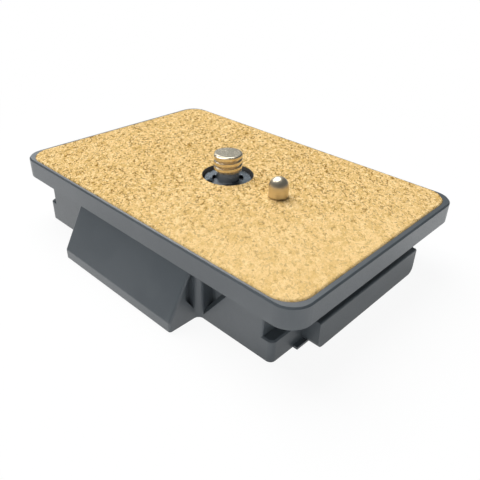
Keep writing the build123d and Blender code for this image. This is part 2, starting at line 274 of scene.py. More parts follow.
class StageSettings(bpy.types.PropertyGroup):
    """Camera, floor and light"""

    camera_place: bpy.props.FloatVectorProperty(
        name="Camera place",
        description="Where the camera stands",
        default=(75.93 * MM, -77.82 * MM, 65.87 * MM),
        subtype="TRANSLATION",
        size=3,
        precision=5,
    )
    camera_heading: angle_property("Heading", "Camera's turn about the upright axis", 42.620)
    camera_dip: angle_property("Dip", "How far the camera looks down", 31.859)
    camera_roll: angle_property("Roll", "Camera's turn about its own axis", 1.862)
    lens: bpy.props.FloatProperty(
        name="Lens", description="Focal length in millimetres", default=39.80, subtype="DISTANCE_CAMERA"
    )
    floor_width: length_property("Floor width", "Side of the square floor", 4.0)
    ambient: share_property("Ambient", "Level of the sky's light at its dark side", 0.13)
    glow: share_property("Glow", "Level of the sky's light at its bright side", 0.42)
    glow_from: direction_property("Glow from", "Side on which the sky is brightest", (-0.74, 0.43, 0.52))
    sky_tint: colour_property("Sky tint", "Colour of the sky's light", (0.88, 0.96, 1.0))
    floor_colour: colour_property("Floor colour", "Colour of the floor round the plate", (0.93, 0.93, 0.93))
    far_colour: colour_property("Far colour", "Colour of the floor far off", (0.35, 0.35, 0.35))
    white_near: share_property("White near", "Share of plain white seen close to the plate", 0.92)
    lit_white: share_property("Lit white", "Share of white in reflections of the lit side", 1.0)
    shaded_white: share_property("Shaded white", "Share of white in reflections of the shaded side", 0.24)
    light_distance: length_property("Light distance", "How far the lights stand from the plate", 1.4)
    light_width: length_property("Light width", "Side of the two square lights", 1.2)
    key_from: direction_property("Key from", "Side that the key light comes from", (-0.5, 0.12, 0.86))
    key_power: power_property("Key power", "Power of the soft key light", 24.6)
    fill_from: direction_property("Fill from", "Side that the fill light comes from", (0.62, -0.72, 0.3))
    fill_power: power_property("Fill power", "Power of the soft fill light", 8.5)


class PlateLooks(bpy.types.PropertyGroup):
    """All settings of the plate's looks"""

    cork: bpy.props.PointerProperty(type=CorkSettings)
    thread: bpy.props.PointerProperty(type=ThreadSettings)
    spring: bpy.props.PointerProperty(type=SpringSettings)
    plastic: bpy.props.PointerProperty(type=PlasticSettings)
    steel: bpy.props.PointerProperty(type=SteelSettings)
    stage: bpy.props.PointerProperty(type=StageSettings)


# Node helpers


def feed(tree, value, socket):
    """Link a socket to another, or set it to a plain value."""
    if isinstance(value, bpy.types.NodeSocket):
        tree.links.new(value, socket)
    else:
        socket.default_value = value


def add_node(tree, kind, settings=(), *values, **inputs):
    """Add a node, set its options and feed its inputs, in order or by name with spaces as underscores."""
    made = tree.nodes.new(kind)
    for option, value in dict(settings).items():
        setattr(made, option, value)
    for value, socket in zip(values, made.inputs):
        feed(tree, value, socket)
    for name, value in inputs.items():
        feed(tree, value, made.inputs[name.replace("_", " ")])
    return made


def calc(tree, operation, *values):
    """Result of a math node with these values."""
    return add_node(tree, "ShaderNodeMath", {"operation": operation}, *values).outputs[0]


def product(tree, first, *others):
    """Product of two or more values."""
    for other in others:
        first = calc(tree, "MULTIPLY", first, other)
    return first


def vector_calc(tree, operation, *values):
    """Result of a vector math node with these values."""
    made = add_node(tree, "ShaderNodeVectorMath", {"operation": operation}, *values)
    return made.outputs["Value" if operation in ("DOT_PRODUCT", "LENGTH") else "Vector"]


def remap(tree, value, start, end, first=0.0, last=1.0):
    """A value that goes smoothly from first to last while another goes from start to end."""
    options = {"interpolation_type": "SMOOTHSTEP"}
    made = add_node(tree, "ShaderNodeMapRange", options, value, start, end, first, last)
    return made.outputs["Result"]


def mix_colours(tree, share, first, second):
    """Colour between two colours."""
    made = add_node(tree, "ShaderNodeMix", {"data_type": "RGBA"}, Factor=share)
    for value, place in ((first, MIX_FIRST), (second, MIX_SECOND)):
        linked = isinstance(value, bpy.types.NodeSocket)
        feed(tree, value if linked else (*value, 1.0), made.inputs[place])
    return made.outputs[MIX_RESULT]


def mix_shaders(tree, share, first, second):
    """Shader node between two shader nodes."""
    return add_node(tree, "ShaderNodeMixShader", (), share, first.outputs[0], second.outputs[0])


def add_noise(tree, coordinates, scale, detail):
    """Noise value with this many features in a metre."""
    made = add_node(tree, "ShaderNodeTexNoise", Vector=coordinates, Scale=scale, Detail=detail)
    return made.outputs["Fac"]


def axis_and_height(tree, coordinates):
    """Way from the upright axis, and height."""
    x, y, z = add_node(tree, "ShaderNodeSeparateXYZ", Vector=coordinates).outputs
    squares = calc(tree, "ADD", product(tree, x, x), product(tree, y, y))
    return calc(tree, "SQRT", squares), z


def new_socket(tree, name, direction, kind, default=None):
    """Add a named socket to a group's interface."""
    made = tree.interface.new_socket(name=name, in_out=direction, socket_type=kind)
    if default is not None:
        made.default_value = default


def shader_group(name, inputs, outputs):
    """New shader group with a coordinate input, number inputs and number outputs."""
    tree = bpy.data.node_groups.new(name, "ShaderNodeTree")
    new_socket(tree, "Coordinates", "INPUT", "NodeSocketVector")
    for socket, default in inputs.items():
        new_socket(tree, socket, "INPUT", "NodeSocketFloat", default)
    for socket in outputs:
        new_socket(tree, socket, "OUTPUT", "NodeSocketFloat")
    return tree, tree.nodes.new("NodeGroupInput").outputs, tree.nodes.new("NodeGroupOutput").inputs


def place_group(tree, maker, coordinates, **inputs):
    """Put a group, which is made once and named as its maker, into a tree. Returns its outputs."""
    group = bpy.data.node_groups.get(maker.__name__) or maker()
    return add_node(tree, "ShaderNodeGroup", {"node_tree": group}, Coordinates=coordinates, **inputs).outputs


# Patterns


def press_grain(tree, coordinates, turn, stretch):
    """Coordinates turned about the upright axis and drawn together, so that patterns are longer one way."""
    back = product(tree, turn, -1.0)
    turned = add_node(
        tree, "ShaderNodeVectorRotate", {"rotation_type": "Z_AXIS"}, Vector=coordinates, Angle=back
    )
    shares = add_node(tree, "ShaderNodeCombineXYZ", X=calc(tree, "DIVIDE", 1.0, stretch), Y=1.0, Z=1.0)
    return vector_calc(tree, "MULTIPLY", turned.outputs[0], shares.outputs[0])


def add_granules(tree, coordinates, size):
    """Cork granules: a random tone for each granule, and the way to its edge in granule sizes."""
    scale = calc(tree, "DIVIDE", 1.0, size)
    wander = add_node(tree, "ShaderNodeTexNoise", Vector=coordinates, Scale=scale, Detail=2.0)
    sway = vector_calc(tree, "SUBTRACT", wander.outputs["Color"], (0.5, 0.5, 0.5))
    reach = product(tree, size, GRANULE_SWAY)
    moved = add_node(tree, "ShaderNodeVectorMath", {"operation": "SCALE"}, Vector=sway, Scale=reach)
    place = vector_calc(tree, "ADD", coordinates, moved.outputs["Vector"])
    cells = add_node(tree, "ShaderNodeTexVoronoi", {"feature": "F1"}, Vector=place, Scale=scale)
    gaps = add_node(tree, "ShaderNodeTexVoronoi", {"feature": "DISTANCE_TO_EDGE"}, Vector=place, Scale=scale)
    tone = add_node(tree, "ShaderNodeSeparateXYZ", Vector=cells.outputs["Color"])
    return tone.outputs["X"], gaps.outputs["Distance"]


def cork_granules():
    """Granule pattern as a shader group."""
    tree, given, out = shader_group("cork_granules", {"Granule Size": 1.0 * MM}, ("Tone", "Edge"))
    tone, edge = add_granules(tree, given["Coordinates"], given["Granule Size"])
    tree.links.new(tone, out["Tone"])
    tree.links.new(edge, out["Edge"])
    return tree


def satin_grain():
    """Even fine grain with a slow cloudiness, for moulded and plated surfaces."""
    sizes = {"Grain Size": 0.2 * MM, "Cloud Size": 9.0 * MM}
    tree, given, out = shader_group("satin_grain", sizes, ("Grain", "Cloud"))
    for name, detail in (("Grain", 2.0), ("Cloud", 3.0)):
        scale = calc(tree, "DIVIDE", 1.0, given[name + " Size"])
        tree.links.new(add_noise(tree, given["Coordinates"], scale, detail), out[name])
    return tree


def turned_marks():
    """Fine rings round an upright axis, as a lathe leaves them."""
    tree, given, out = shader_group("turned_marks", {"Spacing": 0.08 * MM}, ("Marks", "Height"))
    away, height = axis_and_height(tree, given["Coordinates"])
    rings = add_node(tree, "ShaderNodeCombineXYZ", X=away, Z=height)
    scale = calc(tree, "DIVIDE", 1.0, given["Spacing"])
    cuts = add_noise(tree, rings.outputs[0], scale, 3.0)
    stains = add_noise(tree, given["Coordinates"], STAIN_NOISE, 3.0)
    tree.links.new(cuts, out["Height"])
    tree.links.new(product(tree, cuts, stains), out["Marks"])
    return tree


# Materials


def new_material(name):
    """New material with its tree, its Principled shader and Object coordinates."""
    material = bpy.data.materials.new(name)
    material.use_nodes = True
    tree = material.node_tree
    shader = tree.nodes["Principled BSDF"]
    coordinates = tree.nodes.new("ShaderNodeTexCoord").outputs["Object"]
    return material, tree, shader, coordinates


def add_bump(tree, shader, height, distance, strength):
    """Feed a height into the shader's normal."""
    bump = add_node(tree, "ShaderNodeBump", Strength=strength, Distance=distance, Height=height)
    tree.links.new(bump.outputs["Normal"], shader.inputs["Normal"])


def vary_roughness(tree, shader, pattern, span, mean, less, more):
    """Let the roughness follow a span of a pattern's values."""
    rough = remap(tree, pattern, *span, first=mean - less, last=mean + more)
    tree.links.new(rough, shader.inputs["Roughness"])


def cloud_colour(tree, shader, clouds, colour, other):
    """Let the colour drift to another with the clouds."""
    share = remap(tree, clouds, 0.35, 0.7)
    tree.links.new(mix_colours(tree, share, colour, other), shader.inputs["Base Color"])


def make_cork(look):
    """Ground cork: light and tan granules, pale flecks that are partly painted highlights, dark specks, and
    painted shade on the wall of the screw hole.
    """
    material, tree, shader, coordinates = new_material("cork")
    pressed = press_grain(tree, coordinates, look.grain_turn, look.grain_stretch)
    large = place_group(tree, cork_granules, pressed, Granule_Size=look.granule)
    small = place_group(tree, cork_granules, pressed, Granule_Size=look.granule * SMALL_GRANULE)
    fine = add_noise(tree, pressed, FINE_NOISE, 3.0)
    patch = add_noise(tree, pressed, PATCH_NOISE, 3.0)
    breaks = add_noise(tree, pressed, BREAK_NOISE, 2.0)
    to_side = vector_calc(tree, "DOT_PRODUCT", coordinates, look.sparse_side)
    plenty = remap(tree, to_side, look.sparse_from, look.sparse_to, first=1.0, last=look.sparse_share)
    colour = mix_colours(tree, remap(tree, large["Tone"], 0.35, 0.95, last=0.4), look.light, look.middle)
    colour = mix_colours(tree, remap(tree, patch, 0.5, 0.75, last=0.3), colour, look.middle)
    tan_granule = remap(tree, small["Tone"], 0.55, 1.0, last=0.9)
    tan = calc(tree, "MAXIMUM", tan_granule, remap(tree, fine, 0.5, 0.7, last=0.7))
    # Pale flecks: partly the granules' own tone, partly painted highlights
    fleck_and_highlight = remap(tree, small["Tone"], 0.3, 0.2, last=0.8)
    large_gap = remap(tree, large["Edge"], 0.02, 0.12, first=1.0, last=0.0)
    crevice = product(tree, large_gap, remap(tree, breaks, 0.5, 0.6, last=0.9))
    small_gap = remap(tree, small["Edge"], 0.0, 0.16, first=1.0, last=0.0)
    pore = product(tree, small_gap, remap(tree, fine, 0.5, 0.62, last=0.6))
    bark = remap(tree, small["Tone"], 0.09, 0.05, last=0.85)
    tints = (look.middle, look.pale, look.dark, look.dark, look.dark)
    for speck, tint in zip((tan, fleck_and_highlight, crevice, pore, bark), tints):
        colour = mix_colours(tree, product(tree, speck, plenty), colour, tint)
    # Painted shade: the wall of the screw hole and a thin ring at its edge get a dark colour
    away, _ = axis_and_height(tree, coordinates)
    in_hole = calc(tree, "LESS_THAN", away, look.screw_hole / 2 + PAINTED_SHADE_MARGIN)
    tree.links.new(mix_colours(tree, in_hole, colour, look.stain), shader.inputs["Base Color"])
    shader.inputs["Roughness"].default_value = 0.95
    shader.inputs["Specular IOR Level"].default_value = 0.08
    height = calc(tree, "ADD", product(tree, small["Edge"], 0.8), fine)
    add_bump(tree, shader, height, distance=0.09 * MM, strength=0.8)
    return material


def make_plastic(name, colour, pale, look):
    """Moulded plastic with a fine satin grain."""
    material, tree, shader, coordinates = new_material(name)
    satin = place_group(tree, satin_grain, coordinates, Grain_Size=look.grain)
    cloud_colour(tree, shader, satin["Cloud"], colour, pale)
    vary_roughness(tree, shader, satin["Grain"], (0.3, 0.7), look.roughness, less=0.05, more=0.07)
    shader.inputs["Specular IOR Level"].default_value = look.gloss
    shader.inputs["Coat Weight"].default_value = look.coat
    shader.inputs["Coat Roughness"].default_value = look.roughness
    add_bump(tree, shader, satin["Grain"], distance=0.012 * MM, strength=0.5)
    return material


def make_plated_metal(name, colour):
    """Metal with a satin plated or blackened skin."""
    roughness, grain = PLATED_SKINS[name]
    material, tree, shader, coordinates = new_material(name)
    satin = place_group(tree, satin_grain, coordinates, Grain_Size=grain, Cloud_Size=PLATED_CLOUD)
    cloud_colour(tree, shader, satin["Cloud"], colour, [share * DULL_SHARE for share in colour])
    vary_roughness(tree, shader, satin["Cloud"], (0.3, 0.7), roughness, less=0.06, more=0.1)
    shader.inputs["Metallic"].default_value = 1.0
    add_bump(tree, shader, satin["Grain"], distance=0.006 * MM, strength=0.4)
    return material


def make_turned_steel(name, look, roughness, axis_x, dulled_span=None):
    """Bright steel with a lathe's rings round an upright axis, and a duller, less metallic grey between two
    heights.
    """
    material, tree, shader, coordinates = new_material(name)
    centred = add_node(tree, "ShaderNodeMapping", Vector=coordinates, Location=(-axis_x, 0.0, 0.0))
    rings = place_group(tree, turned_marks, centred.outputs[0])
    worn = [share * WORN_SHARE for share in look.bright]
    colour = mix_colours(tree, remap(tree, rings["Marks"], 0.12, 0.42), look.bright, worn)
    shader.inputs["Metallic"].default_value = 1.0
    # Between two heights the colour turns to the neck's grey and the steel is less metallic
    if dulled_span:
        height = add_node(tree, "ShaderNodeSeparateXYZ", Vector=coordinates).outputs["Z"]
        above = calc(tree, "GREATER_THAN", height, dulled_span[0])
        below = calc(tree, "LESS_THAN", height, dulled_span[1])
        dulled = product(tree, above, below)
        colour = mix_colours(tree, dulled, colour, look.neck)
        metallic = remap(tree, dulled, 0.0, 1.0, first=1.0, last=DULLED_METALLIC)
        tree.links.new(metallic, shader.inputs["Metallic"])
    tree.links.new(colour, shader.inputs["Base Color"])
    vary_roughness(tree, shader, rings["Marks"], (0.12, 0.45), roughness, less=0.03, more=0.06)
    add_bump(tree, shader, rings["Height"], distance=0.0008 * MM, strength=0.4)
    return material


# Piece helpers


def new_object(name, data):
    """Object at the origin that carries this mesh, light or camera."""
    made = bpy.data.objects.new(name, data)
    bpy.context.scene.collection.objects.link(made)
    return made


def finish_piece(piece, body, slot, *replaced):
    """Let a finished piece ride on its body and stand for its solids. The slot is not used."""
    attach(piece, body)
    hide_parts(*replaced)


def dress(node, material):
    """Give a carried-over solid its material."""
    slots = frame["nodes"][node].data.materials
    slots.clear()
    slots.append(material)


def copy_solid(node):
    """Copy of a solid's mesh with its loose triangles joined."""
    copy = bmesh.new()
    copy.from_mesh(frame["nodes"][node].data)
    bmesh.ops.remove_doubles(copy, verts=copy.verts, dist=MERGE_DISTANCE)
    return copy


def smooth_by_angle(mesh, degrees):
    """Smooth shading with sharp edges kept."""
    mesh.shade_smooth()
    mesh.set_sharp_from_angle(angle=math.radians(degrees))


def new_tree(name, values):
    """Geometry tree with an input for each of these values. Returns it, its inputs and its output."""
    tree = bpy.data.node_groups.new(name, "GeometryNodeTree")
    for direction in ("INPUT", "OUTPUT"):
        new_socket(tree, "Geometry", direction, "NodeSocketGeometry")
    for socket, value in values.items():
        new_socket(tree, socket, "INPUT", SOCKET_KINDS[type(value)])
    return tree, tree.nodes.new("NodeGroupInput").outputs, tree.nodes.new("NodeGroupOutput").inputs


def end_tree(tree, geometry, given, out):
    """Close a tree with Realize Instances and Set Material."""
    real = add_node(tree, "GeometryNodeRealizeInstances", Geometry=geometry)
    coated = add_node(tree, "GeometryNodeSetMaterial", Geometry=real.outputs[0], Material=given["Material"])
    tree.links.new(coated.outputs[0], out["Geometry"])


def run_tree(piece, maker, values):
    """Run a geometry tree on a piece with these input values, and keep the result as a plain mesh."""
    tree = maker(values)
    modifier = piece.modifiers.new(tree.name, "NODES")
    modifier.node_group = tree
    for item in tree.interface.items_tree:
        if item.in_out == "INPUT" and item.name in values:
            modifier[item.identifier] = values[item.name]
    depsgraph = bpy.context.evaluated_depsgraph_get()
    mesh = bpy.data.meshes.new_from_object(piece.evaluated_get(depsgraph), depsgraph=depsgraph)
    mesh.name = piece.name
    piece.modifiers.clear()
    piece.data = mesh


# Cork sheet


def sheet_outline(half_length, half_width, radius, spacing):
    """Points round a rectangle with rounded corners, counter-clockwise."""
    points = []
    corners = [(1, 1, 0), (-1, 1, 90), (-1, -1, 180), (1, -1, 270)]
    steps = max(4, round(math.pi / 2 * radius / spacing))
    for side_x, side_y, start in corners:
        centre = Vector((side_x * (half_length - radius), side_y * (half_width - radius)))
        for step in range(steps + 1):
            turn = math.radians(start + 90 * step / steps)
            points.append(centre + radius * Vector((math.cos(turn), math.sin(turn))))
    closed = []
    for point, following in zip(points, points[1:] + points[:1]):
        parts = max(1, round((following - point).length / spacing))
        closed += [point.lerp(following, part / parts) for part in range(parts)]
    return closed


def circle_outline(centre_x, radius, spacing):
    """Points round a circle on the long middle line."""
    steps = round(2 * math.pi * radius / spacing)
    turns = [2 * math.pi * step / steps for step in range(steps)]
    return [Vector((centre_x + radius * math.cos(turn), radius * math.sin(turn))) for turn in turns]


class CorkOutline:
    """The sheet's outline and holes, in the frame's plane."""

    def __init__(self, look):
        self.half_length = CORK_HIGH.x + look.spread
        self.half_width = CORK_HIGH.y + look.spread
        self.corner = look.corner_radius + look.spread
        self.holes = [(0.0, look.screw_hole / 2), (PIN_AXIS_X, look.pin_hole / 2)]

    def inside(self, x, y, hole_lead=0.0):
        """How far a point lies inside the nearest edge. The edges of holes may be given a lead."""
        out_x = abs(x) - self.half_length + self.corner
        out_y = abs(y) - self.half_width + self.corner
        away = math.hypot(max(out_x, 0.0), max(out_y, 0.0)) + min(max(out_x, out_y), 0.0) - self.corner
        from_holes = [math.hypot(x - centre, y) - radius + hole_lead for centre, radius in self.holes]
        return min([-away] + from_holes)

    def loops(self, spacing, inset=0.0):
        """Closed loops of points along every edge, or set in from it."""
        sizes = (self.half_length, self.half_width, self.corner)
        outer = sheet_outline(*(size - inset for size in sizes), spacing)
        return [outer] + [circle_outline(centre, radius + inset, spacing) for centre, radius in self.holes]


def cork_points(outline, look):
    """Points of the sheet's top, and its bounding edges: loops along every edge, then an even net."""
    spacing = look.mesh_spacing
    points = []
    edges = []
    for loop in outline.loops(spacing):
        first = len(points)
        points += loop
        edges += [(first + k, first + (k + 1) % len(loop)) for k in range(len(loop))]
    for share in EDGE_LOOPS:
        for loop in outline.loops(spacing, look.edge_round * share):
            points += loop
    row_step = spacing * math.sqrt(3) / 2
    rows = int(outline.half_width / row_step)
    columns = int(outline.half_length / spacing)
    for row in range(-rows, rows + 1):
        for column in range(-columns, columns + 1):
            x = (column + 0.5 * (row % 2)) * spacing
            y = row * row_step
            if outline.inside(x, y) > look.edge_round + NET_MARGIN * spacing:
                points.append(Vector((x, y)))
    return points, edges


def make_cork_blank(look):
    """Flat cork sheet with triangles on top. Its top points carry their way in from the edge."""
    outline = CorkOutline(look)
    points, edges = cork_points(outline, look)
    scaled = [point / MM for point in points]
    flat, _, triangles, *_ = delaunay_2d_cdt(scaled, edges, [], INSIDE_ONLY, SAME_POINT)
    sheet = bmesh.new()
    corners = [sheet.verts.new((point.x * MM, point.y * MM, CORK_HIGH.z)) for point in flat]
    for triangle in triangles:
        middle = sum((corners[k].co for k in triangle), Vector()) / 3
        if outline.inside(middle.x, middle.y) > 0:
            sheet.faces.new([corners[k] for k in triangle])
    bmesh.ops.delete(sheet, geom=[v for v in sheet.verts if not v.link_faces], context="VERTS")
    rim = [edge for edge in sheet.edges if edge.is_boundary]
    made = bmesh.ops.extrude_edge_only(sheet, edges=rim)["geom"]
    low_edges = [item for item in made if isinstance(item, bmesh.types.BMEdge) and item.is_boundary]
    for vertex in {vertex for edge in low_edges for vertex in edge.verts}:
        vertex.co.z = CORK_LOW.z
    bmesh.ops.triangle_fill(sheet, edges=low_edges, use_beauty=False)
    bmesh.ops.recalc_face_normals(sheet, faces=sheet.faces)
    mesh = bpy.data.meshes.new("cork_sheet")
    sheet.to_mesh(mesh)
    sheet.free()
    hole_lead = (1.0 - look.hole_wear) * look.edge_round
    inset = mesh.attributes.new("inset", "FLOAT", "POINT")
    for vertex, value in zip(mesh.vertices, inset.data):
        on_top = vertex.co.z > (CORK_LOW.z + CORK_HIGH.z) / 2
        way_in = outline.inside(vertex.co.x, vertex.co.y, hole_lead)
        value.value = max(way_in, 0.0) if on_top else NOT_ON_TOP
    return mesh


def make_relief_tree(values):
    """Geometry tree that lowers the gaps between granules and rubs down the edge of the sheet's top."""
    tree, given, out = new_tree("cork_relief", values)
    position = tree.nodes.new("GeometryNodeInputPosition").outputs[0]
    inset = add_node(tree, "GeometryNodeInputNamedAttribute", {"data_type": "FLOAT"}, Name="inset").outputs[0]
    pressed = press_grain(tree, position, given["Grain Turn"], given["Grain Stretch"])
    tone, edge = add_granules(tree, pressed, given["Granule Size"])
    gap = remap(tree, edge, 0.0, GAP_WIDTH, first=1.0, last=0.0)
    level = product(tree, tone, TONE_RELIEF)
    sunk = product(tree, calc(tree, "ADD", gap, level), given["Relief"])
    way_in = calc(tree, "DIVIDE", inset, given["Edge Round"])
    short = calc(tree, "MAXIMUM", calc(tree, "SUBTRACT", 1.0, way_in), 0.0)
    rubbed = product(tree, calc(tree, "POWER", short, RUB_POWER), given["Edge Round"])
    on_top = calc(tree, "GREATER_THAN", inset, NOT_ON_TOP / 2)
    fall = product(tree, calc(tree, "ADD", sunk, rubbed), on_top, -1.0)
    offset = add_node(tree, "ShaderNodeCombineXYZ", Z=fall)
    moved = add_node(tree, "GeometryNodeSetPosition", Geometry=given["Geometry"], Offset=offset.outputs[0])
    end_tree(tree, moved.outputs[0], given, out)
    return tree


class PLATE_OT_cork_sheet(bpy.types.Operator):
    """Make the cork sheet with its granules and its two holes"""

    bl_idname = "plate.cork_sheet"
    bl_label = "Cork sheet"

    def execute(self, context):
        look = context.scene.plate_looks.cork
        piece = new_object("cork_sheet", make_cork_blank(look))
        values = {
            "Granule Size": look.granule,
            "Grain Turn": look.grain_turn,
            "Grain Stretch": look.grain_stretch,
            "Relief": look.relief,
            "Edge Round": look.edge_round,
            "Material": make_cork(look),
        }
        run_tree(piece, make_relief_tree, values)
        smooth_by_angle(piece.data, SHARP_CORK)
        finish_piece(piece, "plate", "cork", "cork_pad")
        return {"FINISHED"}


# Camera screw


def make_thread_tree(values):
    """Geometry tree for a threaded stud: a net wrapped round the axis, with the thread's form as its radius.

    The net's first and last rows are the middles of the two ends, and the row before the last is a ring on
    the tip's flat.
    """
    tree, given, out = new_tree("screw_thread", values)
    low_row = 1
    tip_ring = THREAD_ROWS - 2
    high_row = tip_ring - 1
    counts = {"Vertices_X": THREAD_SEGMENTS + 1, "Vertices_Y": THREAD_ROWS}
    net = add_node(tree, "GeometryNodeMeshGrid", Size_X=1.0, Size_Y=1.0, **counts)
    position = tree.nodes.new("GeometryNodeInputPosition").outputs[0]
    across, along, _ = add_node(tree, "ShaderNodeSeparateXYZ", Vector=position).outputs
    turn = calc(tree, "ADD", across, 0.5)
    row = calc(tree, "ROUND", product(tree, calc(tree, "ADD", along, 0.5), THREAD_ROWS - 1))
    climb = calc(tree, "DIVIDE", calc(tree, "SUBTRACT", row, low_row), high_row - low_row)
    share = add_node(tree, "ShaderNodeClamp", Value=climb).outputs[0]
    rise = product(tree, share, given["Length"])
    fall = calc(tree, "SUBTRACT", given["Length"], rise)
    wound = calc(tree, "ADD", calc(tree, "DIVIDE", rise, given["Pitch"]), given["Start"])
    saw = calc(tree, "FRACT", calc(tree, "SUBTRACT", wound, turn))
    swing = calc(tree, "SUBTRACT", product(tree, saw, 2.0), 1.0)
    ridge = calc(tree, "SUBTRACT", 1.0, calc(tree, "ABSOLUTE", swing))
    groove = remap(tree, ridge, *FLANK_SPAN, first=1.0, last=0.0)
    fade = remap(tree, calc(tree, "DIVIDE", rise, given["Run-out"]), *RUN_OUT_SPAN)
    cut = product(tree, groove, fade, given["Depth"])
    threaded = calc(tree, "SUBTRACT", given["Radius"], cut)
    low_limit = calc(tree, "ADD", calc(tree, "SUBTRACT", given["Radius"], given["End Chamfer"]), rise)
    short = calc(tree, "SUBTRACT", 1.0, calc(tree, "DIVIDE", fall, given["Tip Round"]))
    near_tip = calc(tree, "MAXIMUM", short, 0.0)
    bow = calc(tree, "SQRT", calc(tree, "SUBTRACT", 1.0, product(tree, near_tip, near_tip)))
    drawn_in = product(tree, calc(tree, "SUBTRACT", 1.0, bow), given["Tip Round"])
    high_limit = calc(tree, "SUBTRACT", given["Radius"], drawn_in)
    outer = calc(tree, "MINIMUM", threaded, calc(tree, "MINIMUM", low_limit, high_limit))
    above_middle = calc(tree, "GREATER_THAN", row, low_row - 0.5)
    below_middle = calc(tree, "LESS_THAN", row, tip_ring + 0.5)
    flat = product(tree, calc(tree, "GREATER_THAN", row, tip_ring - 0.5), TIP_INSET)
    kept = product(tree, above_middle, below_middle, calc(tree, "SUBTRACT", 1.0, flat))
    radius = product(tree, outer, kept)
    angle = product(tree, turn, 2 * math.pi)
    x = product(tree, radius, calc(tree, "COSINE", angle))
    y = product(tree, radius, calc(tree, "SINE", angle))
    z = calc(tree, "ADD", given["Bottom"], rise)
    wrapped = add_node(tree, "ShaderNodeCombineXYZ", X=x, Y=y, Z=z).outputs[0]
    stud = add_node(tree, "GeometryNodeSetPosition", Geometry=net.outputs["Mesh"], Position=wrapped)
    closed = add_node(tree, "GeometryNodeMergeByDistance", Geometry=stud.outputs[0], Distance=MERGE_DISTANCE)
    end_tree(tree, closed.outputs[0], given, out)
    return tree


def lower_screw(height):
    """Copy of the screw's solid below a height: neck, shank, head and lug."""
    lower = copy_solid("camera_screw")
    everything = lower.verts[:] + lower.edges[:] + lower.faces[:]
    bmesh.ops.bisect_plane(
        lower, geom=everything, plane_co=(0, 0, height), plane_no=(0, 0, 1), clear_outer=True
    )
    bmesh.ops.holes_fill(lower, edges=[edge for edge in lower.edges if edge.is_boundary])
    return lower


class PLATE_OT_camera_screw(bpy.types.Operator):
    """Make the camera screw with its thread"""

    bl_idname = "plate.camera_screw"
    bl_label = "Camera screw"

    def execute(self, context):
        thread = context.scene.plate_looks.thread
        look = context.scene.plate_looks.steel
        bottom = SCREW_TOP - thread.length
        neck_span = (CORK_LOW.z, bottom)
        steel = make_turned_steel("turned_steel", look, look.roughness, 0.0, neck_span)
        piece = new_object("threaded_screw", bpy.data.meshes.new("threaded_screw"))
        values = {
            "Radius": THREAD_RADIUS,
            "Pitch": thread.pitch,
            "Depth": thread.depth,
            "Bottom": bottom,
            "Length": thread.length,
            "Tip Round": thread.tip_round,
            "End Chamfer": thread.end_chamfer,
            "Run-out": thread.run_out,
            "Start": thread.start / (2 * math.pi),
            "Material": steel,
        }
        run_tree(piece, make_thread_tree, values)
        whole = lower_screw(bottom)
        whole.from_mesh(piece.data)
        for face in whole.faces:
            face.material_index = 0
        whole.to_mesh(piece.data)
        whole.free()
        piece.data.materials.clear()
        piece.data.materials.append(steel)
        smooth_by_angle(piece.data, SHARP_STEEL)
        finish_piece(piece, "camera_screw", "screw_steel", "camera_screw")
        return {"FINISHED"}


# Pin spring


def make_spring_tree(values):
    """Geometry tree for a coil spring: round wire along a helix."""
    tree, given, out = new_tree("coil_spring", values)
    coil = add_node(
        tree,
        "GeometryNodeCurveSpiral",
        Resolution=SPRING_STEPS,
        Rotations=given["Turns"],
        Start_Radius=given["Coil Radius"],
        End_Radius=given["Coil Radius"],
        Height=given["Height"],
    ).outputs[0]
    section = add_node(
        tree, "GeometryNodeCurvePrimitiveCircle", Resolution=WIRE_SIDES, Radius=given["Wire Radius"]
    ).outputs[0]
    wire = add_node(tree, "GeometryNodeCurveToMesh", Curve=coil, Profile_Curve=section, Fill_Caps=True)
    placed = add_node(tree, "GeometryNodeTransform", Geometry=wire.outputs[0], Translation=given["Place"])
    end_tree(tree, placed.outputs[0], given, out)
    return tree


class PLATE_OT_pin_spring(bpy.types.Operator):
    """Make the coil spring that lifts the pin"""

    bl_idname = "plate.pin_spring"
    bl_label = "Pin spring"

    def execute(self, context):
        looks = context.scene.plate_looks
        wire_radius = looks.spring.wire / 2
        length = SPRING_HIGH.z - SPRING_LOW.z
        piece = new_object("coil_spring", bpy.data.meshes.new("coil_spring"))
        values = {
            "Turns": float(looks.spring.turns),
            "Coil Radius": (SPRING_HIGH.x - SPRING_LOW.x) / 2 - wire_radius,
            "Height": length - 2 * wire_radius,
            "Wire Radius": wire_radius,
            "Place": (PIN_AXIS_X, 0.0, SPRING_LOW.z + wire_radius),
            "Material": make_plated_metal("spring_wire", looks.steel.wire),
        }
        run_tree(piece, make_spring_tree, values)
        smooth_by_angle(piece.data, SHARP_STEEL)
        finish_piece(piece, "plate", "spring_wire", "pin_spring")
        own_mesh(piece)
        return {"FINISHED"}


# Clip and carried-over solids


class PLATE_OT_retaining_clip(bpy.types.Operator):
    """Make the blackened clip with softened edges"""

    bl_idname = "plate.retaining_clip"
    bl_label = "Retaining clip"

    def execute(self, context):
        look = context.scene.plate_looks.steel
        blank = copy_solid("retaining_clip")
        flat_limit = math.radians(FLAT_CLIP)
        bmesh.ops.dissolve_limit(blank, angle_limit=flat_limit, verts=blank.verts, edges=blank.edges)
        mesh = bpy.data.meshes.new("spring_clip")
        blank.to_mesh(mesh)
        blank.free()
        mesh.materials.append(make_plated_metal("black_steel", look.black))
        piece = new_object("spring_clip", mesh)
        soft = piece.modifiers.new("softened_edges", "BEVEL")
        soft.width = look.clip_bevel
        soft.segments = 3
        soft.limit_method = "ANGLE"
        soft.angle_limit = math.radians(SHARP_CLIP)
        smooth_by_angle(mesh, SHARP_CLIP)
        finish_piece(piece, "camera_screw", "black_steel", "retaining_clip")
        return {"FINISHED"}


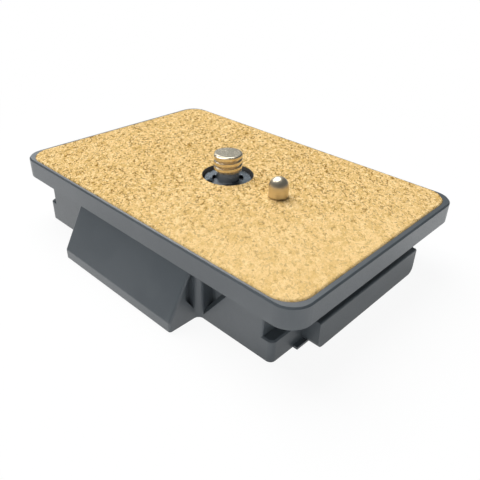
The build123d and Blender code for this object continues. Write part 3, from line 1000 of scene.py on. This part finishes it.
class PLATE_OT_moulding(bpy.types.Operator):
    """Give the moulded body and the washer their plastics"""

    bl_idname = "plate.moulding"
    bl_label = "Moulded plastic"

    def execute(self, context):
        look = context.scene.plate_looks.plastic
        dress("plate_body", make_plastic("moulded_plastic", look.colour, look.pale, look))
        dress("thrust_washer", make_plastic("washer_plastic", look.washer, look.pale_washer, look))
        return {"FINISHED"}


class PLATE_OT_fittings(bpy.types.Operator):
    """Give the pin, ring, retainer and small screws their metals"""

    bl_idname = "plate.fittings"
    bl_label = "Metal fittings"

    def execute(self, context):
        look = context.scene.plate_looks.steel
        dress("video_pin", make_turned_steel("pin_steel", look, look.pin_roughness, PIN_AXIS_X))
        dress("d_ring", make_plated_metal("ring_steel", look.wire))
        zinc = make_plated_metal("zinc_plate", look.zinc)
        dress("pin_retainer", zinc)
        dress("retainer_screws", zinc)
        return {"FINISHED"}


# Stage


def make_floor_material(look):
    """White floor that keeps the shadow. It is clear from below, so that the underside can be seen."""
    material, tree, shader, place = new_material("white_floor")
    tree.nodes.remove(shader)
    away = vector_calc(tree, "LENGTH", place)
    ground = mix_colours(tree, remap(tree, away, *FAR_SPAN), look.floor_colour, look.far_colour)
    matt = add_node(tree, "ShaderNodeBsdfDiffuse", Color=ground)
    white = add_node(tree, "ShaderNodeEmission", Color=(1.0, 1.0, 1.0, 1.0), Strength=1.0)
    path = tree.nodes.new("ShaderNodeLightPath").outputs
    seen = calc(tree, "MAXIMUM", path["Is Camera Ray"], path["Is Transmission Ray"])
    seen_white = product(tree, seen, remap(tree, away, *WHITE_SPAN, first=look.white_near))
    side = add_node(tree, "ShaderNodeSeparateXYZ", Vector=place).outputs["X"]
    level = remap(tree, side, *SHADED_SPAN, first=look.lit_white, last=look.shaded_white)
    mirrored_white = product(tree, path["Is Glossy Ray"], level)
    paper = mix_shaders(tree, calc(tree, "MAXIMUM", seen_white, mirrored_white), matt, white)
    below = tree.nodes.new("ShaderNodeNewGeometry").outputs["Backfacing"]
    both = mix_shaders(tree, below, paper, tree.nodes.new("ShaderNodeBsdfTransparent"))
    tree.links.new(both.outputs[0], tree.nodes["Material Output"].inputs["Surface"])
    return material


def make_floor(look):
    """Square floor under the plate."""
    half = look.floor_width / 2
    corners = [(-half, -half, 0), (half, -half, 0), (half, half, 0), (-half, half, 0)]
    mesh = bpy.data.meshes.new("floor")
    mesh.from_pydata(corners, [], [(0, 1, 2, 3)])
    mesh.materials.append(make_floor_material(look))
    return new_object("floor", mesh)


def make_sky(look):
    """Soft surroundings, brighter on one side of the plate."""
    world = bpy.data.worlds.new("soft_surroundings")
    world.use_nodes = True
    tree = world.node_tree
    towards = tree.nodes.new("ShaderNodeTexCoord").outputs["Generated"]
    facing = vector_calc(tree, "DOT_PRODUCT", towards, Vector(look.glow_from).normalized())
    sky = tree.nodes["Background"]
    sky.inputs["Color"].default_value = (*look.sky_tint, 1.0)
    level = remap(tree, facing, *GLOW_SPAN, first=look.ambient, last=look.glow)
    tree.links.new(level, sky.inputs["Strength"])
    return world


def add_soft_light(name, direction, power, look):
    """Square soft light that faces the origin from a direction."""
    lamp = bpy.data.lights.new(name, "AREA")
    lamp.size = look.light_width
    lamp.energy = power
    light = new_object(name, lamp)
    towards = Vector(direction).normalized()
    light.location = towards * look.light_distance
    light.rotation_euler = towards.to_track_quat("Z", "Y").to_euler()
    return light


def add_camera(look):
    """Camera at its place, turned by its heading, dip and roll."""
    lens = bpy.data.cameras.new("photo_camera")
    lens.lens = look.lens
    lens.sensor_width = SENSOR_WIDTH
    lens.clip_start = CLIP_START
    camera = new_object("photo_camera", lens)
    heading = Matrix.Rotation(look.camera_heading, 4, "Z")
    dip = Matrix.Rotation(math.pi / 2 - look.camera_dip, 4, "X")
    turn = heading @ dip @ Matrix.Rotation(look.camera_roll, 4, "Z")
    camera.matrix_world = Matrix.Translation(look.camera_place) @ turn
    return camera


class PLATE_OT_stage(bpy.types.Operator):
    """Set up the floor, the light and the camera"""

    bl_idname = "plate.stage"
    bl_label = "Stage"

    def execute(self, context):
        scene = context.scene
        look = scene.plate_looks.stage
        make_floor(look)
        scene.world = make_sky(look)
        add_soft_light("key_light", look.key_from, look.key_power, look)
        fill = add_soft_light("fill_light", look.fill_from, look.fill_power, look)
        fill.visible_glossy = False
        scene.camera = add_camera(look)
        scene.view_settings.view_transform = "Standard"
        return {"FINISHED"}


class PLATE_PT_looks(bpy.types.Panel):
    """Sidebar panel with every setting and step"""

    bl_idname = "PLATE_PT_looks"
    bl_label = "Quick release plate"
    bl_space_type = "VIEW_3D"
    bl_region_type = "UI"
    bl_category = "Plate"

    def draw(self, context):
        looks = context.scene.plate_looks
        for group in PlateLooks.__annotations__:
            settings = getattr(looks, group)
            box = self.layout.box()
            box.label(text=group.capitalize())
            for name in settings.__annotations__:
                box.prop(settings, name)
        for operator in OPERATORS:
            self.layout.operator(operator.bl_idname)


OPERATORS = (
    PLATE_OT_cork_sheet,
    PLATE_OT_camera_screw,
    PLATE_OT_pin_spring,
    PLATE_OT_retaining_clip,
    PLATE_OT_moulding,
    PLATE_OT_fittings,
    PLATE_OT_stage,
)
SETTINGS = (CorkSettings, ThreadSettings, SpringSettings, PlasticSettings, SteelSettings, StageSettings)
CLASSES = SETTINGS + (PlateLooks,) + OPERATORS + (PLATE_PT_looks,)


def register():
    """Register the classes and the scene's settings."""
    for made in CLASSES:
        bpy.utils.register_class(made)
    bpy.types.Scene.plate_looks = bpy.props.PointerProperty(type=PlateLooks)


def unregister():
    """Undo register."""
    del bpy.types.Scene.plate_looks
    for made in reversed(CLASSES):
        bpy.utils.unregister_class(made)


def main():
    """Build every piece and the stage."""
    register()
    bpy.ops.plate.cork_sheet()
    bpy.ops.plate.camera_screw()
    bpy.ops.plate.pin_spring()
    bpy.ops.plate.retaining_clip()
    bpy.ops.plate.moulding()
    bpy.ops.plate.fittings()
    bpy.ops.plate.stage()


if __name__ == "__main__":
    main()
